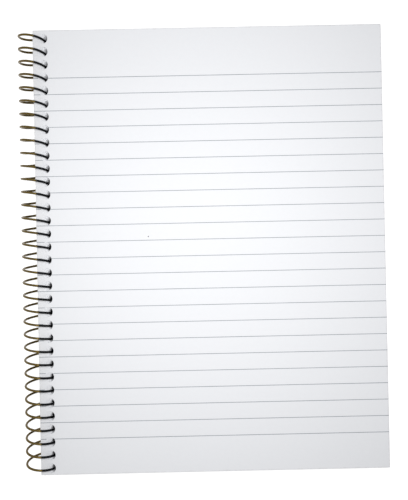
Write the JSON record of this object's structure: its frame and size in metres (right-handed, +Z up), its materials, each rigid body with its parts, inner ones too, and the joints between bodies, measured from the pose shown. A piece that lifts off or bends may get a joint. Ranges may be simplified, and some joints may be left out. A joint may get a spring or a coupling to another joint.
{
  "type": "open spiral notebook",
  "caption": "Open spiral notebook: a ruled sheet on top of a stack threaded on one long wire coil, with both covers folded round behind and hinged on the coil.",
  "frame": {"origin": "middle of the outer box, on the surface that the notebook lies on", "axes": "+X from the coil to the fore edge of the sheets, +Y to the head of the page, +Z up out of the open page"},
  "size_m": [0.1782, 0.2174, 0.0145],
  "materials": {
    "sheets": "uncoated white writing paper",
    "ruling_ink": "thin pale blue-grey printed lines",
    "coil_wire": "dark bronze-black lacquered steel wire",
    "rear_board": "charcoal pressed board, matt",
    "front_card": "dark blue coated card, satin outside and plain inside"
  },
  "bodies": {
    "sheets": {"page_block": "sheets", "ruled_lines": "ruling_ink", "wire_spiral": "coil_wire"},
    "rear_cover": {"rear_cover": "rear_board"},
    "front_cover": {"front_cover": "front_card"}
  },
  "joints": [
    {"name": "rear_cover_swing", "type": "hinge", "parent": "sheets", "child": "rear_cover", "pos_m": [-0.08188, 0, 0.00726], "axis": [0, 1, 0], "range_deg": [0, 180]},
    {"name": "front_cover_swing", "type": "hinge", "parent": "rear_cover", "child": "front_cover", "pos_m": [-0.08188, 0, 0.00726], "axis": [0, 1, 0], "range_deg": [0, 180]}
  ]
}
